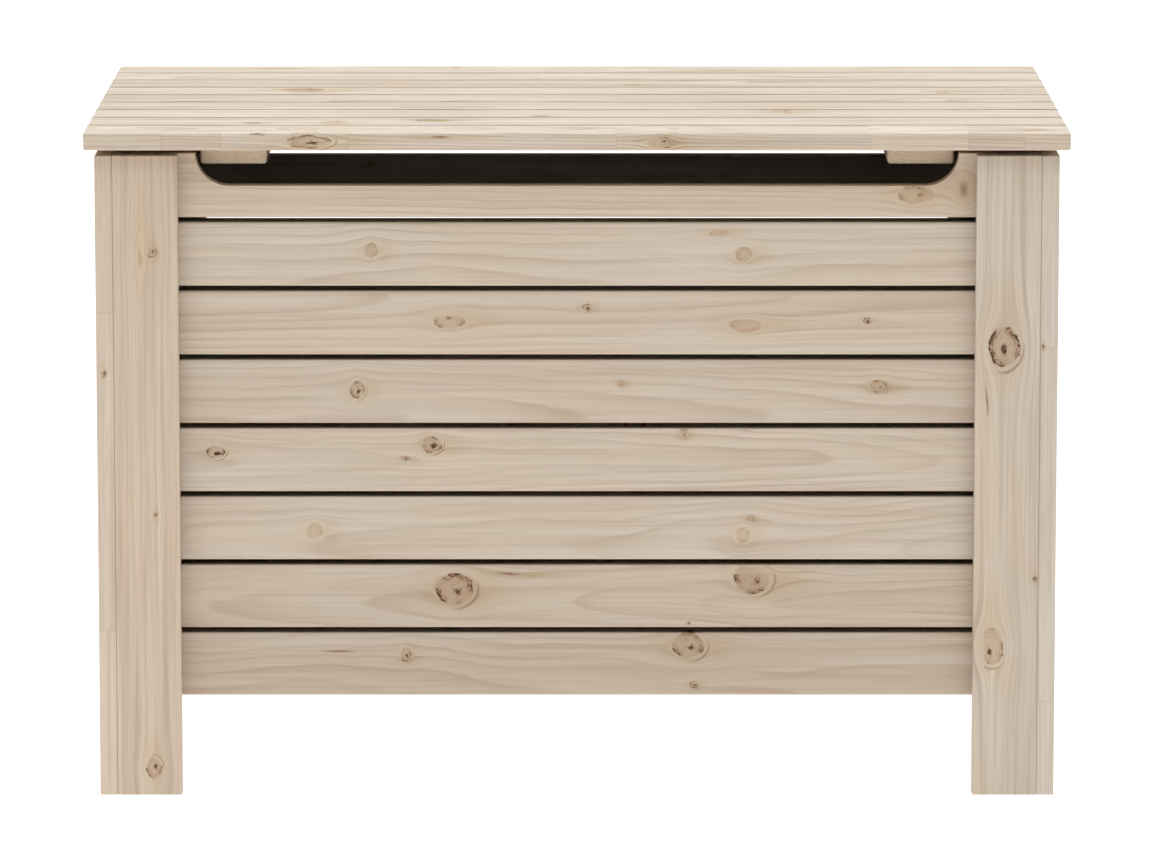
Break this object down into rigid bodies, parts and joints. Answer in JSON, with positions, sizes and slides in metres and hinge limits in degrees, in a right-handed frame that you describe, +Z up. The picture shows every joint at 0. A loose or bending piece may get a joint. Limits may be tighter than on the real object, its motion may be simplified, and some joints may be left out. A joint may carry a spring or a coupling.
{
  "type": "wooden toy box",
  "caption": "Rectangular toy chest of spaced pine boards on corner legs, with a slatted overhanging lid on rear hinges, a folding lid stay and a wide hand cut-out under the lid's front edge.",
  "frame": {"origin": "on the floor, under the middle of the box's outline (the lid's outline)", "axes": "+Z up; +X along the long side, to the right as seen from the front; +Y from the front with the hand cut-out to the hinged back"},
  "size_m": [0.882, 0.5508, 0.6053],
  "materials": {
    "pine": "planed, untreated knotty pine, matt, eased edges",
    "plywood": "sanded, untreated thin plywood, matt",
    "plated_steel": "bright zinc plated, satin"
  },
  "bodies": {
    "chest": {"front_plank_1": "pine", "front_plank_2": "pine", "front_plank_3": "pine", "front_plank_4": "pine", "front_plank_5": "pine", "front_plank_6": "pine", "front_plank_7": "pine", "front_plank_8": "pine", "back_plank_1": "pine", "back_plank_2": "pine", "back_plank_3": "pine", "back_plank_4": "pine", "back_plank_5": "pine", "back_plank_6": "pine", "back_plank_7": "pine", "back_plank_8": "pine", "left_plank_1": "pine", "left_plank_2": "pine", "left_plank_3": "pine", "left_plank_4": "pine", "left_plank_5": "pine", "left_plank_6": "pine", "left_plank_7": "pine", "left_plank_8": "pine", "right_plank_1": "pine", "right_plank_2": "pine", "right_plank_3": "pine", "right_plank_4": "pine", "right_plank_5": "pine", "right_plank_6": "pine", "right_plank_7": "pine", "right_plank_8": "pine", "leg_front_left_face": "pine", "leg_front_left_side": "pine", "leg_front_right_face": "pine", "leg_front_right_side": "pine", "leg_back_left_face": "pine", "leg_back_left_side": "pine", "leg_back_right_face": "pine", "leg_back_right_side": "pine", "bottom_panel": "plywood", "hinge_left_box_leaf": "plated_steel", "hinge_right_box_leaf": "plated_steel", "stay_wall_plate": "plated_steel"},
    "lid": {"lid_slat_1": "pine", "lid_slat_2": "pine", "lid_slat_3": "pine", "lid_slat_4": "pine", "lid_slat_5": "pine", "lid_slat_6": "pine", "lid_slat_7": "pine", "lid_slat_8": "pine", "lid_slat_9": "pine", "lid_batten_left": "pine", "lid_batten_right": "pine", "hinge_left_lid_leaf": "plated_steel", "hinge_right_lid_leaf": "plated_steel", "stay_lid_bracket": "plated_steel"},
    "stay_lower": {"stay_lower_arm": "plated_steel"},
    "stay_upper": {"stay_upper_arm": "plated_steel"}
  },
  "joints": [
    {"name": "lid_hinge", "type": "hinge", "parent": "chest", "child": "lid", "pos_m": [0, 0.2684, 0.5864], "axis": [-1, 0, 0], "range_deg": [0, 95]},
    {"name": "stay_lower_pivot", "type": "hinge", "parent": "chest", "child": "stay_lower", "pos_m": [0.3959, 0.13, 0.3674], "axis": [-1, 0, 0], "range_deg": [0, 95]},
    {"name": "stay_elbow", "type": "hinge", "parent": "stay_lower", "child": "stay_upper", "pos_m": [0.3932, -0.0152, 0.3534], "axis": [-1, 0, 0], "range_deg": [-95, 0]}
  ],
  "couplings": [
    {"joint": "stay_lower_pivot", "follows": "lid_hinge", "ratio": 1},
    {"joint": "stay_elbow", "follows": "lid_hinge", "ratio": -1}
  ]
}
